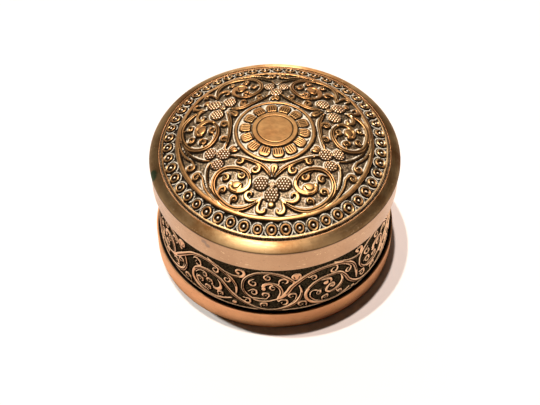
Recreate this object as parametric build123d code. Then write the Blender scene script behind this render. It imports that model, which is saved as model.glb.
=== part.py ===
from build123d import *
import math
import os

# A round copper trinket box with a slip-on lid. The lid is a domed, chased sheet held in a rounded
# shoulder ring over a plain rim band. The body is a plain drum that carries a slip collar for the
# lid, a chased band and a plain base ring. Millimetres, +Z up, origin at the middle of the foot.

# Sheet and joint allowances
sheet = 0.8
solder_gap = 0.05
slip_clearance = 0.2
seat_gap = 0.1
edge_round = 0.25

# Lid, from the crease under the shoulder inwards
lid_diameter = 105.0
rim_setback = 0.4
rim_thickness = 0.9
rim_height = 11.4
shoulder_width = 3.85
shoulder_rise = 3.25
shoulder_thickness = 0.9
shoulder_bearing = 1.2
wire_radius = 0.35
groove_width = 0.5
groove_depth = 0.95

# Domed crown and the plain mouldings raised on it
dome_radius = 100.0
relief_root = 0.3
moulding_margin = 0.1
moulding_width = 1.0
moulding_height = 0.5
outer_ring_width = 2.0
outer_ring_height = 0.7
centre_ring_radius = 16.5
centre_ring_width = 1.2
centre_ring_height = 0.6
medallion_radius = 9.6
medallion_rise = 0.45
medallion_line_radius = 7.4
medallion_line_width = 0.3
medallion_line_depth = 0.15

# Petals round the medallion
petal_count = 14
petal_margin = 0.4
petal_gap = 0.6
petal_height = 0.6
petal_round_share = 0.75

# Beads punched between the outer ring and the edge moulding
bead_pitch = 5.55
bead_ring_gap = 0.9
bead_moulding_lap = 0.1
bead_radius = 2.2
bead_hollow_radius = 1.0
bead_ball_radius = 0.55
bead_height = 0.7
bead_ball_height = 0.45
bead_floor = 0.1

# Scrollwork and berries between the centre ring and the outer ring. One sixth is drawn: from the
# middle of a large berry cluster, straight below the crown's middle, to the middle of a small one, 60
# degrees on. It is mirrored and repeated three times round. "radius" is the drawing's size, where it
# meets the outer ring. A stem's rows are x, y and half width along its middle. A curl is the x and y
# of its head, its radius, and the x and y of its tail's tip. A berry is x, y and radius.
cluster_count = 3
first_cluster_bearing = -90.0
stem_height = 0.7
berry_height = 0.7
berry_foot = 0.05
crown_drawing = {
    "radius": 39.1,
    "tail_half_width": 0.45,
    "volute": [
        (3.6, -32.4, 0.3),
        (6.0, -34.2, 0.55),
        (10.1, -36.0, 0.95),
        (14.2, -36.1, 1.0),
        (18.0, -34.4, 1.0),
        (21.1, -31.5, 1.0),
        (23.2, -28.0, 1.0),
        (23.6, -24.5, 1.0),
        (22.2, -21.1, 1.0),
        (19.5, -19.1, 1.0),
        (16.1, -18.8, 1.0),
        (12.7, -19.7, 0.95),
        (10.4, -21.5, 0.85),
        (9.2, -24.0, 0.8),
        (9.2, -26.6, 0.9),
        (10.8, -28.6, 1.1),
        (13.5, -29.3, 1.1),
        (16.0, -28.4, 0.9),
    ],
    "cluster leaf": [
        (3.8, -32.2, 0.3),
        (6.1, -33.2, 0.5),
        (8.4, -33.3, 0.8),
        (9.9, -32.2, 0.9),
        (9.8, -30.5, 0.8),
    ],
    "foot leaf": [
        (3.9, -32.6, 0.3),
        (4.5, -34.2, 0.55),
        (5.2, -35.9, 0.8),
        (5.0, -37.2, 0.8),
        (3.4, -37.7, 0.7),
    ],
    "fork": [
        (1.2, -22.8, 0.4),
        (2.0, -21.4, 0.6),
        (3.7, -19.3, 0.7),
        (5.7, -17.7, 0.7),
        (8.4, -16.3, 0.65),
        (11.2, -15.0, 0.6),
    ],
    "small cluster stem": [
        (25.3, -15.2, 0.4),
        (26.2, -17.6, 0.5),
        (26.5, -20.4, 0.5),
        (26.2, -23.4, 0.5),
        (25.1, -26.5, 0.5),
        (23.2, -29.6, 0.45),
        (20.6, -32.5, 0.4),
    ],
    "edge curl stem": [
        (20.6, -33.9, 0.3),
        (23.6, -31.3, 0.4),
        (26.0, -28.2, 0.5),
        (27.6, -24.9, 0.5),
        (28.3, -21.8, 0.5),
    ],
    "curls": [
        (12.7, -22.4, 1.6, 14.9, -20.0),
        (19.5, -22.9, 1.9, 21.8, -21.9),
        (20.1, -28.6, 1.8, 21.6, -31.4),
        (15.0, -32.4, 1.55, 16.9, -34.9),
        (15.2, -26.0, 1.5, 16.0, -28.4),
        (7.6, -18.9, 1.95, 10.6, -16.0),
        (14.2, -15.2, 1.75, 16.4, -13.4),
        (30.9, -20.7, 2.0, 28.3, -20.8),
    ],
    "paired berries": [(4.6, -26.0, 2.9), (22.4, -16.7, 2.3)],
    "single berries": [(0.0, -30.8, 2.9), (20.4, -11.8, 2.5)],
    "straight to radius": 15.0,
    "full drift radius": 27.0,
}
crown_stem_names = ["volute", "cluster leaf", "foot leaf", "fork", "small cluster stem", "edge curl stem"]

# The hand drawing strays round the crown by these degrees at these bearings
drift_degrees = {-90: -2.6, -30: 0.7, 30: 0.8, 90: -2.0, 150: -5.0, 210: -2.2}

# Body
foot_inset = 1.0
plate_thickness = 0.9
wall_thickness = 0.9
wall_top = 53.1
collar_thickness = 1.15
collar_drop = 1.1
collar_overlap = 0.3
band_thickness = 0.35
band_border_height = 0.35
band_border_width = 0.9
band_stem_height = 0.45
band_stem_root = 0.25
band_stem_margin = 0.1
band_stem_points = 5

# Running scroll of the band, one third of the way round, drawn flat: rows are the distance round,
# the height over the foot and the half width. "radius", "bottom" and "top" are the drawing's size.
band_repeats = 3
band_bearing = -95.0
band_drawing = {
    "radius": 50.2,
    "bottom": 9.65,
    "top": 40.5,
    "low volute": [
        (-14.0, 14.4, 0.4),
        (-17.6, 12.7, 0.45),
        (-21.6, 11.4, 0.5),
        (-25.5, 11.3, 0.6),
        (-30.3, 12.9, 0.7),
        (-32.9, 16.6, 0.7),
        (-32.9, 20.5, 0.65),
        (-30.8, 24.4, 0.7),
        (-27.2, 26.7, 0.75),
        (-23.0, 27.2, 0.75),
        (-18.8, 25.1, 0.7),
        (-15.9, 21.1, 0.7),
        (-13.0, 17.3, 0.8),
        (-8.7, 14.1, 0.7),
        (-4.5, 11.7, 0.6),
        (0.0, 10.5, 0.6),
        (4.8, 10.6, 0.65),
        (9.8, 12.3, 0.8),
        (13.4, 15.2, 0.8),
        (15.3, 19.5, 0.6),
        (15.5, 23.0, 0.45),
        (14.6, 26.3, 0.3),
    ],
    "second low volute": [
        (38.0, 12.1, 0.4),
        (34.0, 10.6, 0.45),
        (29.1, 10.2, 0.5),
        (24.0, 11.0, 0.6),
        (19.8, 13.0, 0.7),
        (17.7, 16.7, 0.7),
        (17.6, 21.0, 0.65),
        (20.1, 25.4, 0.7),
        (24.2, 27.7, 0.75),
        (28.5, 27.9, 0.75),
        (32.6, 26.5, 0.7),
        (35.6, 22.6, 0.7),
        (38.2, 17.1, 0.8),
        (42.2, 12.8, 0.7),
        (46.4, 10.9, 0.6),
        (51.8, 10.3, 0.6),
        (57.0, 10.6, 0.65),
        (62.4, 12.3, 0.8),
        (66.0, 15.2, 0.8),
        (67.9, 19.5, 0.6),
        (68.1, 23.0, 0.45),
        (67.2, 26.3, 0.3),
    ],
    "high stem": [
        (4.9, 17.8, 0.5),
        (7.6, 19.8, 0.8),
        (9.8, 22.9, 1.0),
        (11.6, 26.6, 1.0),
        (14.6, 30.0, 0.9),
        (18.8, 33.3, 0.9),
        (24.0, 34.8, 0.8),
        (29.6, 34.1, 0.8),
        (35.2, 31.4, 0.75),
        (39.2, 27.7, 0.7),
        (41.2, 23.2, 0.65),
        (42.0, 19.0, 0.55),
        (42.4, 15.1, 0.35),
    ],
    "second high stem": [
        (57.6, 17.8, 0.5),
        (60.4, 19.6, 0.8),
        (63.0, 22.2, 1.0),
        (65.6, 25.3, 1.0),
        (68.4, 28.4, 0.9),
        (72.2, 32.0, 0.9),
        (76.8, 34.2, 0.8),
        (81.3, 34.5, 0.8),
        (85.8, 33.0, 0.75),
        (89.9, 30.0, 0.7),
        (92.6, 26.0, 0.65),
        (93.4, 22.3, 0.55),
        (93.2, 18.5, 0.35),
    ],
    "high volute": [
        (12.6, 29.0, 0.5),
        (9.4, 32.6, 0.75),
        (5.4, 35.3, 0.75),
        (0.6, 36.2, 0.65),
        (-4.0, 34.8, 0.6),
        (-7.6, 31.2, 0.6),
        (-9.0, 26.9, 0.55),
        (-8.8, 22.5, 0.6),
        (-6.4, 18.7, 0.6),
        (-2.8, 16.6, 0.4),
        (1.6, 16.6, 0.35),
        (5.3, 18.0, 0.3),
    ],
    "second high volute": [
        (65.4, 29.0, 0.5),
        (62.2, 32.6, 0.75),
        (58.2, 35.3, 0.75),
        (53.4, 36.2, 0.65),
        (48.8, 34.8, 0.6),
        (45.2, 31.2, 0.6),
        (43.8, 26.9, 0.55),
        (44.0, 22.5, 0.6),
        (46.4, 18.7, 0.6),
        (50.0, 16.6, 0.4),
        (54.4, 16.6, 0.35),
        (58.1, 18.0, 0.3),
    ],
    "top curl": [
        (29.6, 35.3, 0.3),
        (33.0, 33.6, 0.55),
        (37.2, 31.5, 0.6),
        (40.9, 30.6, 0.6),
        (43.8, 31.7, 0.6),
        (44.2, 34.0, 0.6),
    ],
    "second top curl": [
        (80.6, 35.9, 0.3),
        (84.5, 34.0, 0.55),
        (88.4, 31.8, 0.6),
        (92.3, 30.8, 0.6),
        (96.1, 31.7, 0.6),
        (96.6, 34.0, 0.6),
    ],
}
base_ring_height = 9.6
base_ring_thickness = 0.8
base_ring_setback = 0.15

# Radii worked out from the lid inwards
lid_radius = lid_diameter / 2
rim_outer = lid_radius - rim_setback
rim_inner = rim_outer - rim_thickness
collar_outer = rim_inner - slip_clearance
collar_inner = collar_outer - collar_thickness
wall_outer = collar_inner - solder_gap
wall_inner = wall_outer - wall_thickness
shoulder_inner = lid_radius - shoulder_width
shoulder_bearing_outer = shoulder_inner + shoulder_bearing
shoulder_skirt_inner = lid_radius - shoulder_thickness
wire_circle = shoulder_inner - solder_gap - wire_radius
flange_inner = wire_circle - wire_radius - groove_width
base_ring_outer = lid_radius - base_ring_setback
base_ring_inner = base_ring_outer - base_ring_thickness
plate_radius = base_ring_inner - solder_gap
band_outer = collar_inner + band_thickness

# Heights worked out from the foot upwards
plate_top = foot_inset + plate_thickness
wall_bottom = plate_top + solder_gap
flange_bottom = wall_top + seat_gap
flange_top = flange_bottom + sheet
shoulder_seat = flange_top + solder_gap
crease = shoulder_seat + shoulder_thickness - shoulder_rise
rim_top = crease - solder_gap
rim_bottom = rim_top - rim_height
collar_bottom = rim_bottom + collar_overlap
collar_top = wall_top - collar_drop
band_bottom = base_ring_height + solder_gap
band_top = collar_bottom - solder_gap
dome_centre = flange_top + groove_depth - math.sqrt(dome_radius**2 - flange_inner**2)
dome_apex = dome_centre + dome_radius
medallion_top = dome_apex + medallion_rise

# Ornament at the crown's edge, worked out from the edge inwards
moulding_radius = flange_inner - moulding_margin
bead_circle_radius = moulding_radius - moulding_width + bead_moulding_lap - bead_radius
bead_count = round(2 * math.pi * bead_circle_radius / bead_pitch)
outer_ring_radius = bead_circle_radius - bead_radius - bead_ring_gap
crown_scale = (outer_ring_radius - outer_ring_width) / crown_drawing["radius"]

# Size of the band's drawing on the band
band_turn_scale = 1 / band_drawing["radius"]
band_scale = (band_top - band_bottom) / (band_drawing["top"] - band_drawing["bottom"])


def dome_height(radius, offset=0.0):
    """Height of the dome's outer face, or of a sphere offset from it, at a radius."""
    return dome_centre + math.sqrt((dome_radius + offset) ** 2 - radius**2)


def point(radius, height):
    return (radius, 0, height)


def turned(*edges):
    """Solid of revolution about the Z axis from a closed outline in the XZ plane."""
    return revolve(make_face(edges), axis=Axis.Z)


def turned_polygon(*corners):
    return turned(*Polyline(*[point(*corner) for corner in corners], close=True).edges())


def plain_ring(inner, outer, bottom, top):
    """Ring of rectangular section with its round edges softened."""
    section = turned_polygon((inner, bottom), (outer, bottom), (outer, top), (inner, top))
    return fillet(section.edges().filter_by(GeomType.CIRCLE), edge_round)


def raised_ring(outer, width, height):
    """Half-round moulding that stands on the dome and is rooted in it."""
    inner = outer - width
    middle = outer - width / 2
    foot_in = point(inner, dome_height(inner) - relief_root)
    foot_out = point(outer, dome_height(outer) - relief_root)
    toe_in = point(inner, dome_height(inner))
    toe_out = point(outer, dome_height(outer))
    crest = point(middle, dome_height(middle) + height)
    return turned(
        Line(foot_in, toe_in),
        ThreePointArc(toe_in, crest, toe_out),
        Line(toe_out, foot_out),
        Line(foot_out, foot_in),
    )


def cap_side(radius, top, foot):
    """Point halfway out along the spherical cap from its top on the axis to its foot."""
    rise = top - foot
    curvature = (radius**2 + rise**2) / (2 * rise)
    return point(radius / 2, top - curvature + math.sqrt(curvature**2 - (radius / 2) ** 2))


def on_dome(radius, bearing):
    """Place on the dome's outer face with its own Z axis square to the face."""
    tilt = math.degrees(math.asin(radius / dome_radius))
    height = dome_height(radius)
    return Rot(0, 0, bearing) * Pos(radius, 0, height) * Rot(0, tilt, 0)


def bead():
    """Punched bead: a half-round collar round a sunk floor with a small ball in its middle."""
    crest = (bead_hollow_radius + bead_radius) / 2
    base = point(0, -relief_root)
    ball_top = point(0, bead_ball_height)
    ball_edge = point(bead_ball_radius, bead_floor)
    floor_edge = point(bead_hollow_radius, bead_floor)
    collar_edge = point(bead_radius, bead_floor)
    foot = point(bead_radius, -relief_root)
    return turned(
        Line(base, ball_top),
        ThreePointArc(ball_top, cap_side(bead_ball_radius, bead_ball_height, bead_floor), ball_edge),
        Line(ball_edge, floor_edge),
        ThreePointArc(floor_edge, point(crest, bead_height), collar_edge),
        Line(collar_edge, foot),
        Line(foot, base),
    )


def berry(radius):
    """Low domed boss, rooted in the dome."""
    base = point(0, -relief_root)
    top = point(0, berry_height)
    edge = point(radius, berry_foot)
    foot = point(radius, -relief_root)
    return turned(
        Line(base, top),
        ThreePointArc(top, cap_side(radius, berry_height, berry_foot), edge),
        Line(edge, foot),
        Line(foot, base),
    )


def drift(bearing):
    """Degrees by which the hand drawing strays at a bearing, smooth all round."""
    total = sum(drift_degrees.values())
    for order, weight in ((1, 2), (2, 2), (3, 1)):
        for place, amount in drift_degrees.items():
            total += weight * amount * math.cos(math.radians(order * (bearing - place)))
    return total / len(drift_degrees)


def placed(x, y, cluster, side):
    """Radius and bearing on the crown of a point of the drawn sixth, side 1 as drawn or -1 mirrored."""
    drawn_radius = math.hypot(x, y)
    straight_radius = crown_drawing["straight to radius"]
    share = (drawn_radius - straight_radius) / (crown_drawing["full drift radius"] - straight_radius)
    share = min(max(share, 0), 1)
    bearing = first_cluster_bearing + cluster * 360 / cluster_count + side * math.degrees(math.atan2(x, -y))
    return drawn_radius * crown_scale, bearing + drift(bearing) * share**2 * (3 - 2 * share)


def plan_point(x, y, cluster, side):
    radius, bearing = placed(x, y, cluster, side)
    return Vector(radius, 0, 0).rotate(Axis.Z, bearing)


def ribbon(rows):
    """Flat face of a stem with round ends, from points along its middle and the half width at each."""
    left = []
    right = []
    for before, here, after in zip(rows[:1] + rows[:-1], rows, rows[1:] + rows[-1:]):
        ahead = (after[0] - before[0]).normalized()
        aside = Vector(-ahead.Y, ahead.X, 0) * here[1]
        left.append(here[0] + aside)
        right.append(here[0] - aside)
    start_tip = rows[0][0] - (rows[1][0] - rows[0][0]).normalized() * rows[0][1]
    end_tip = rows[-1][0] + (rows[-1][0] - rows[-2][0]).normalized() * rows[-1][1]
    return make_face(
        [
            Spline(left),
            ThreePointArc(left[-1], end_tip, right[-1]),
            Spline(right[::-1]),
            ThreePointArc(right[0], start_tip, left[0]),
        ]
    )


def dome_layer(inner, outer, below, above):
    """Ring of the dome between two radii, from a depth below its outer face to a height above it."""
    middle = (inner + outer) / 2
    top_in = point(inner, dome_height(inner, above))
    top_out = point(outer, dome_height(outer, above))
    low_in = point(inner, dome_height(inner, -below))
    low_out = point(outer, dome_height(outer, -below))
    return turned(
        ThreePointArc(top_in, point(middle, dome_height(middle, above)), top_out),
        Line(top_out, low_out),
        ThreePointArc(low_out, point(middle, dome_height(middle, -below)), low_in),
        Line(low_in, top_in),
    )


def crown_scrollwork():
    """Raised stems and curls that follow the dome."""
    tail_half = crown_drawing["tail_half_width"] * crown_scale
    faces = []
    for cluster in range(cluster_count):
        for side in (-1, 1):
            for name in crown_stem_names:
                stem = []
                for x, y, half in crown_drawing[name]:
                    stem.append((plan_point(x, y, cluster, side), half * crown_scale))
                faces.append(ribbon(stem))
            for x, y, radius, tail_x, tail_y in crown_drawing["curls"]:
                head = plan_point(x, y, cluster, side)
                tail = plan_point(tail_x, tail_y, cluster, side)
                faces.append(Pos(*head) * Circle(radius * crown_scale))
                faces.append(ribbon([(head, tail_half), (tail, tail_half)]))
    foot = dome_height(outer_ring_radius) - relief_root
    plan = Pos(0, 0, foot) * (Sketch() + faces)
    prisms = extrude(plan, amount=dome_apex + stem_height - foot, dir=(0, 0, 1))
    layer = dome_layer(centre_ring_radius - centre_ring_width, outer_ring_radius, relief_root, stem_height)
    return (prisms & layer).solids()


def berries():
    """Paired berries on both sides of the middle lines and single ones on them."""
    made = []
    for cluster in range(cluster_count):
        for side in (-1, 1):
            for x, y, radius in crown_drawing["paired berries"]:
                made.append(on_dome(*placed(x, y, cluster, side)) * berry(radius * crown_scale))
        for x, y, radius in crown_drawing["single berries"]:
            made.append(on_dome(*placed(x, y, cluster, 1)) * berry(radius * crown_scale))
    return made


def petals():
    """Ring of round-ended petals between the medallion and the centre ring."""
    pitch = 2 * math.pi / petal_count
    start = medallion_radius + petal_margin
    end = centre_ring_radius - centre_ring_width - petal_margin
    half_start = (start * pitch - petal_gap) / 2
    half_end = ((end - half_start) * pitch - petal_gap) / 2
    widest = end - half_end * petal_round_share
    outline = make_face(
        [
            Line((start, -half_start), (widest, -half_end)),
            ThreePointArc((widest, -half_end), (end, 0), (widest, half_end)),
            Line((widest, half_end), (start, half_start)),
            Line((start, half_start), (start, -half_start)),
        ]
    )
    foot = dome_height(end) - relief_root
    prism = extrude(Pos(0, 0, foot) * outline, amount=medallion_top + petal_height - foot)
    petal = prism & Pos(0, 0, dome_centre) * Sphere(dome_radius + petal_height)
    return [Rot(0, 0, index * 360 / petal_count + 90 / petal_count) * petal for index in range(petal_count)]


def lid_crown():
    """Domed sheet with a flat flange, and the raised ornament that is worked in the same sheet."""
    inner_wall = flange_inner - sheet
    apex = point(0, dome_apex)
    apex_under = point(0, dome_apex - sheet)
    edge = point(flange_inner, dome_height(flange_inner))
    edge_under = point(inner_wall, dome_height(inner_wall, -sheet))
    flange_corner = point(flange_inner, flange_top)
    lip_top = point(wall_outer, flange_top)
    lip_bottom = point(wall_outer, flange_bottom)
    flange_under = point(inner_wall, flange_bottom)
    half = flange_inner / 2
    shell = turned(
        ThreePointArc(apex, point(half, dome_height(half)), edge),
        Line(edge, flange_corner),
        Line(flange_corner, lip_top),
        Line(lip_top, lip_bottom),
        Line(lip_bottom, flange_under),
        Line(flange_under, edge_under),
        ThreePointArc(edge_under, point(half, dome_height(half, -sheet)), apex_under),
        Line(apex_under, apex),
    )
    medallion_foot = dome_height(medallion_radius) - relief_root
    medallion = turned_polygon(
        (0, medallion_foot),
        (medallion_radius, medallion_foot),
        (medallion_radius, medallion_top),
        (0, medallion_top),
    )
    line_outer = medallion_line_radius + medallion_line_width / 2
    line_inner = medallion_line_radius - medallion_line_width / 2
    line_floor = medallion_top - medallion_line_depth
    line_above = medallion_top + medallion_line_depth
    scribed_line = turned_polygon(
        (line_inner, line_floor),
        (line_outer, line_floor),
        (line_outer, line_above),
        (line_inner, line_above),
    )
    raised = [
        raised_ring(moulding_radius, moulding_width, moulding_height),
        raised_ring(outer_ring_radius, outer_ring_width, outer_ring_height),
        raised_ring(centre_ring_radius, centre_ring_width, centre_ring_height),
        medallion - scribed_line,
    ]
    raised += petals()
    one_bead = bead()
    for index in range(bead_count):
        raised.append(on_dome(bead_circle_radius, index * 360 / bead_count) * one_bead)
    raised += berries()
    raised += crown_scrollwork()
    return shell.fuse(*raised)


def lid_shoulder_ring():
    """Convex ring from the rim band up to the crown, bearing on the crown's flange."""
    crown_edge = point(shoulder_inner, crease + shoulder_rise)
    crease_point = point(lid_radius, crease)
    skirt_foot = point(shoulder_skirt_inner, crease)
    bearing_edge = point(shoulder_bearing_outer, shoulder_seat)
    bearing_start = point(shoulder_inner, shoulder_seat)
    turn = math.cos(math.radians(45))
    outer_middle = point(shoulder_inner + shoulder_width * turn, crease + shoulder_rise * turn)
    hollow_run = shoulder_skirt_inner - shoulder_bearing_outer
    hollow_rise = shoulder_seat - crease
    inner_middle = point(shoulder_bearing_outer + hollow_run * turn, crease + hollow_rise * turn)
    return turned(
        ThreePointArc(crown_edge, outer_middle, crease_point),
        Line(crease_point, skirt_foot),
        ThreePointArc(skirt_foot, inner_middle, bearing_edge),
        Line(bearing_edge, bearing_start),
        Line(bearing_start, crown_edge),
    )


def lid_milled_wire():
    """Fine round wire that hides the seam between the shoulder and the crown."""
    return Pos(0, 0, shoulder_seat + wire_radius) * Torus(wire_circle, wire_radius)


def lid_rim_band():
    return plain_ring(rim_inner, rim_outer, rim_bottom, rim_top)


def body_wall():
    return plain_ring(wall_inner, wall_outer, wall_bottom, wall_top)


def body_collar():
    """Slip collar that the lid's rim band slides over, hidden while the lid is on."""
    return plain_ring(collar_inner, collar_outer, collar_bottom, collar_top)


def band_span(rows, start_bearing):
    """Short stretch of a stem, drawn on the plane that faces its middle and run out from the drum."""
    middle = (rows[0][0] + rows[-1][0]) / 2
    flat = []
    for along, height, half in rows:
        across = band_outer * math.sin((along - middle) * band_turn_scale)
        up = band_bottom + (height - band_drawing["bottom"]) * band_scale
        flat.append((Vector(across, up, 0), half * band_scale))
    bearing = start_bearing + math.degrees(middle * band_turn_scale)
    outward = Vector(1, 0, 0).rotate(Axis.Z, bearing)
    plane = Plane(origin=(0, 0, 0), x_dir=outward.rotate(Axis.Z, 90), z_dir=outward)
    return extrude(plane.offset(wall_inner) * ribbon(flat), amount=lid_radius - wall_inner)


def band_scrollwork():
    """Raised stems of the running scroll, each made of short stretches that follow the drum."""
    stems = [rows for rows in band_drawing.values() if isinstance(rows, list)]
    step = band_stem_points - 1
    spans = []
    for repeat in range(band_repeats):
        start_bearing = band_bearing + repeat * 360 / band_repeats
        for rows in stems:
            for first in range(0, len(rows) - 1, step):
                spans.append(band_span(rows[first : first + band_stem_points], start_bearing))
    outer = band_outer + band_stem_height
    inner = band_outer - band_stem_root
    bottom = band_bottom + band_stem_margin
    top = band_top - band_stem_margin
    layer = turned_polygon((inner, bottom), (outer, bottom), (outer, top), (inner, top))
    return (spans[0].fuse(*spans[1:]) & layer).solids()


def body_band():
    """Chased band round the drum, with a plain raised border at its foot and its head."""
    border_outer = band_outer + band_border_height
    ring = turned_polygon(
        (collar_inner, band_bottom),
        (border_outer, band_bottom),
        (border_outer, band_bottom + band_border_width),
        (band_outer, band_bottom + band_border_width),
        (band_outer, band_top - band_border_width),
        (border_outer, band_top - band_border_width),
        (border_outer, band_top),
        (collar_inner, band_top),
    )
    return ring.fuse(*band_scrollwork())


def base_ring():
    """Plain base ring with its top turned in to the drum as a ledge."""
    ledge_under = base_ring_height - base_ring_thickness
    section = turned_polygon(
        (base_ring_inner, 0),
        (base_ring_outer, 0),
        (base_ring_outer, base_ring_height),
        (collar_inner, base_ring_height),
        (collar_inner, ledge_under),
        (base_ring_inner, ledge_under),
    )
    outer_edges = section.edges().filter_by(GeomType.CIRCLE).group_by(lambda edge: edge.radius)[-1]
    return fillet(outer_edges, edge_round)


def base_plate():
    plate = Pos(0, 0, foot_inset + plate_thickness / 2) * Cylinder(plate_radius, plate_thickness)
    return fillet(plate.edges().filter_by(GeomType.CIRCLE), edge_round)


pieces = {
    "lid_crown": lid_crown,
    "lid_shoulder_ring": lid_shoulder_ring,
    "lid_milled_wire": lid_milled_wire,
    "lid_rim_band": lid_rim_band,
    "body_wall": body_wall,
    "body_collar": body_collar,
    "body_band": body_band,
    "base_ring": base_ring,
    "base_plate": base_plate,
}

os.makedirs("parts", exist_ok=True)
for name, make in pieces.items():
    export_step(make(), f"parts/{name}.step")
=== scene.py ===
import math

import bpy
import numpy as np
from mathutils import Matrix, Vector


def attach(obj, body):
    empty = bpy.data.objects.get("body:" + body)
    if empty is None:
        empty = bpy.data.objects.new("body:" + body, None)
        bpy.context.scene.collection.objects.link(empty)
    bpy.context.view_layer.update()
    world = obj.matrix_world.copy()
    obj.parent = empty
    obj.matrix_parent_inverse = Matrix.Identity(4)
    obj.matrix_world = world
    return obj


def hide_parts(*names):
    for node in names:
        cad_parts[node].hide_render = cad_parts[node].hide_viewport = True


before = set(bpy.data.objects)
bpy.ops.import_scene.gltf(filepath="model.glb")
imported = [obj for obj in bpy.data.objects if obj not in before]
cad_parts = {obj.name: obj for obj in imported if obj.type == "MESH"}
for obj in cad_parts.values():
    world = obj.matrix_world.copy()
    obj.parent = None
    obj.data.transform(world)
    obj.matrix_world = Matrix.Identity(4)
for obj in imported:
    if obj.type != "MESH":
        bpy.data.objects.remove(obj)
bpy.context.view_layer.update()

# A chased copper trinket box. Lengths are in millimetres until a mesh is made, heights are along +Z.

MM = 0.001


# Sizes read from the frame

def ring_sizes(node):
    """Inner and outer radius and lowest and highest point of a turned CAD node."""
    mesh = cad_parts[node].data
    points = np.zeros(len(mesh.vertices) * 3, np.float32)
    mesh.vertices.foreach_get("co", points)
    points = points.reshape(-1, 3).astype(float) / MM
    radius = np.hypot(points[:, 0], points[:, 1])
    return radius.min(), radius.max(), points[:, 2].min(), points[:, 2].max()


_, crown_lip, crown_low, crown_high = ring_sizes("lid_crown")
shoulder_in, shoulder_out, crease, shoulder_high = ring_sizes("lid_shoulder_ring")
rim_in, rim_out, rim_low, rim_high = ring_sizes("lid_rim_band")
wire_in, wire_out, wire_low, wire_high = ring_sizes("lid_milled_wire")
band_in, _, band_low, band_high = ring_sizes("body_band")
_, foot_out, foot_low, foot_high = ring_sizes("base_ring")

sheet = 0.8
groove_gap = 0.5
groove_depth = 0.95
dome_radius = 100.0
dome_edge = wire_in - groove_gap
flange_top = crown_low + sheet
dome_centre = flange_top + groove_depth - math.sqrt(dome_radius**2 - dome_edge**2)
medallion_top = crown_high


def dome(radius, offset=0.0):
    return dome_centre + np.sqrt((dome_radius + offset) ** 2 - np.square(radius))


# Curves

path_step = 0.3
least_half_width = 0.06
far = 99.0


def smooth_path(points):
    """Catmull-Rom curve through rows of (x, y, half-width), in steps of about path_step."""
    points = np.asarray(points, float)
    ends = np.vstack([2 * points[0] - points[1], points, 2 * points[-1] - points[-2]])
    rows = []
    for a, b, c, d in zip(ends[:-3], ends[1:-2], ends[2:-1], ends[3:]):
        count = max(2, int(math.hypot(*(c - b)[:2]) / path_step))
        t = np.linspace(0, 1, count, endpoint=False)[:, None]
        curve = 2 * b + (c - a) * t + (2 * a - 5 * b + 4 * c - d) * t**2
        rows.append(0.5 * (curve + (3 * b - a - 3 * c + d) * t**3))
    rows.append(points[-1:])
    path = np.vstack(rows)
    path[:, 2] = np.maximum(path[:, 2], least_half_width)
    return path


def length(offset):
    return np.hypot(offset[:, 0], offset[:, 1])


def from_segment(spot, a, b):
    """Where the nearest place of a segment lies, as a share of its length, and the distance to it."""
    run = b - a
    share = np.clip(((spot - a) @ run) / max(run @ run, 1e-9), 0, 1)
    return share, length(spot - a - share[:, None] * run)


def curl_path(centre, radius, start, turn, tail, width, tail_width, tall):
    """A stem that comes in from its tail, goes round a centre and ends in a ball, as (x, y, half-width)."""
    steps = 14
    rows = [(x, y, tail_width) for x, y in tail]
    for step in range(steps + 1):
        share = step / steps
        inward = min(max((share - 0.5) / 0.5, 0), 1)
        angle = math.radians(start + turn * share)
        out = (radius - width) * (1 - 0.78 * inward * inward * (3 - 2 * inward))
        half = width * (0.62 + 0.38 * math.sin(math.pi * min(1.0, share * 1.25)) + 0.25 * inward**2)
        rows.append((centre[0] + out * math.cos(angle), centre[1] + out * tall * math.sin(angle), half))
    return rows


# Relief. Depths are shares of the whole relief's depth.

clear_gap = 3.0
clear_line = 1.0
full_stem = 0.55
split_depth = 0.45
groove_share = 0.35
slit_depth = 0.3
hexagonal = 0.866


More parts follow.
